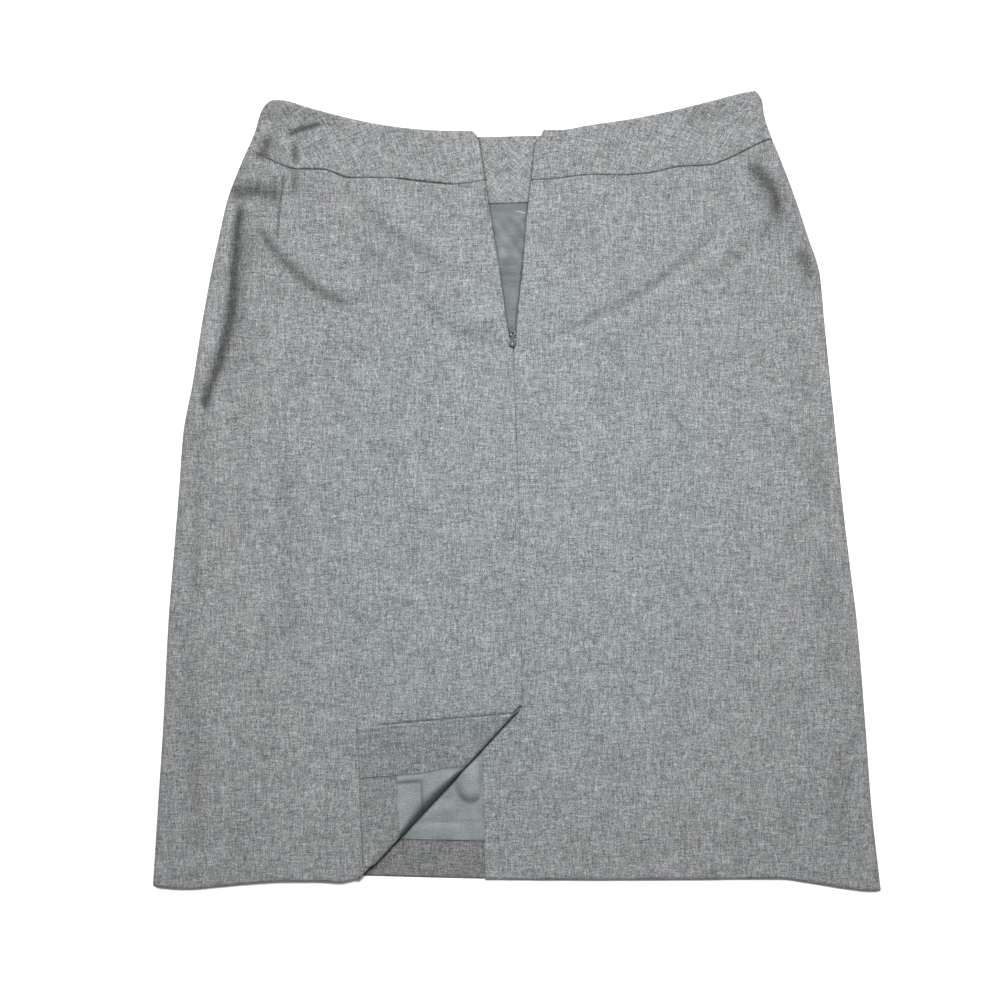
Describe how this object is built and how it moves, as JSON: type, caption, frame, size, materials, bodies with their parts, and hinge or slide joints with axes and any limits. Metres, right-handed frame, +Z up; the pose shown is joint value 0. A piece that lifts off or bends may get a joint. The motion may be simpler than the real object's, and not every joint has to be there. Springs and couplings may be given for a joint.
{
  "type": "pencil skirt",
  "caption": "Lined wool pencil skirt laid flat with its back side up, its back zip open, and one corner of the back vent turned over.",
  "frame": {"origin": "on the surface the skirt lies on, under the middle of its box", "axes": "+X to the right and +Y towards the waist as seen from above, +Z up out of the surface"},
  "size_m": [0.598, 0.6558, 0.0129],
  "materials": {
    "wool": "plain-weave grey melange suiting with short lighter and darker slubs, matt",
    "satin_lining": "blue-grey satin, soft sheen",
    "zip_tape": "dark grey woven tape in shadow, matt",
    "painted_zip": "light grey paint, semi-gloss"
  },
  "bodies": {
    "skirt": {"front_yoke": "wool", "front_panel": "wool", "front_yoke_facing": "wool", "front_hem_turnup": "wool", "back_right_panel": "wool", "back_left_panel": "wool", "back_left_yoke": "wool", "back_right_yoke": "wool", "vent_facing": "wool", "flap_hem_turnup": "wool", "front_lining": "satin_lining", "flap_lining": "satin_lining", "zip_tape_left": "zip_tape", "zip_tape_right": "zip_tape", "zip_slider": "painted_zip"},
    "pull_tab": {"zip_pull_tab": "painted_zip"}
  },
  "joints": [
    {"name": "pull_tab_hinge", "type": "hinge", "parent": "skirt", "child": "pull_tab", "pos_m": [-0.0035, 0.131, 0.0072], "axis": [-1, 0, 0], "range_deg": [0, 170]}
  ]
}
